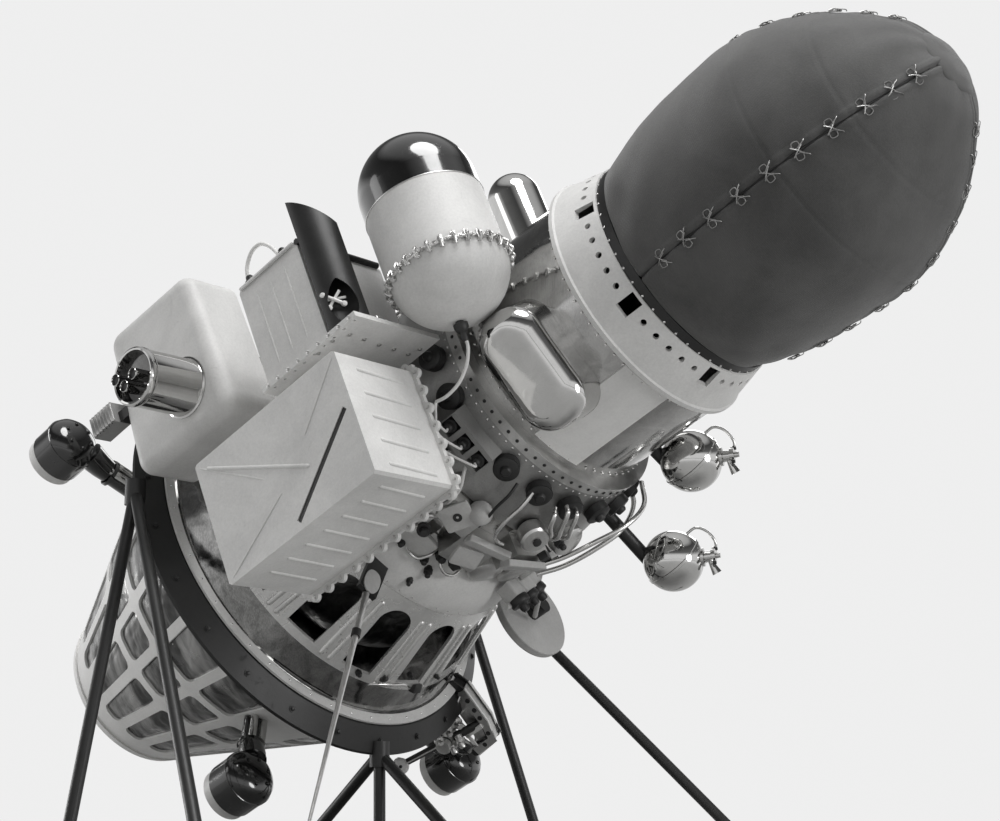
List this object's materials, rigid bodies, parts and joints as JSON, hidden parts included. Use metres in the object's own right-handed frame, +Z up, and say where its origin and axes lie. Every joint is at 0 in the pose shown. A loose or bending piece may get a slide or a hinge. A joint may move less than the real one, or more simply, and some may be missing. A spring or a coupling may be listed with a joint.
{
  "type": "lunar lander on a display stand",
  "caption": "Lunar lander lying back on its tubular display stand, with padded capsule cover, polished bay, side housings, lattice skirt and steering chambers.",
  "frame": {"origin": "middle of the bounding box, on the floor under the stand's feet", "axes": "+X along the way the capsule end points, level with the floor; +Z up; the ribbed housing is on the -Y side"},
  "size_m": [2.5604, 1.99, 1.7424],
  "materials": {
    "grey_canvas": "matte",
    "black_paint": "satin",
    "black_gloss": "gloss",
    "white_paint": "matte",
    "grey_paint": "matte",
    "bare_metal": "satin",
    "mirror_metal": "polished",
    "bright_chrome": "polished",
    "foil": "polished",
    "black_plastic": "gloss"
  },
  "bodies": {
    "root": {"bay_flange": "bare_metal", "bay_patch": "white_paint", "canister_body": "white_paint", "canister_clips": "bright_chrome", "canister_dome": "black_gloss", "capsule_band": "black_paint", "capsule_cover": "grey_canvas", "compartment_brackets": "bare_metal", "control_bay": "grey_paint", "deck_flange": "grey_paint", "dish_antenna": "grey_paint", "engine_deck": "foil", "engine_frame": "bare_metal", "engine_nozzle": "bare_metal", "engine_tank": "foil", "far_housing": "white_paint", "flared_skirt": "grey_paint", "flat_housing": "white_paint", "foil_base": "foil", "gas_spheres": "bright_chrome", "instrument_bay": "mirror_metal", "louvre_box": "grey_paint", "payload_ring": "white_paint", "port_ring": "grey_paint", "port_sockets": "black_plastic", "prop_rod": "black_paint", "ribbed_flange": "white_paint", "ribbed_housing": "white_paint", "rounded_housing": "white_paint", "second_canister": "bright_chrome", "sensor_barrel": "bright_chrome", "shelf_plate": "white_paint", "side_pod": "bright_chrome", "skirt_lattice": "white_paint", "skirt_liner": "foil", "socket_box": "grey_paint", "stand_centre_legs": "black_paint", "stand_far_legs": "black_paint", "stand_hoop": "black_paint", "stand_near_legs": "black_paint", "trough_antenna": "black_paint", "vernier_arms": "black_gloss", "vernier_pots": "black_gloss", "vernier_rims": "white_paint", "waist_equipment": "bare_metal"}
  },
  "joints": []
}
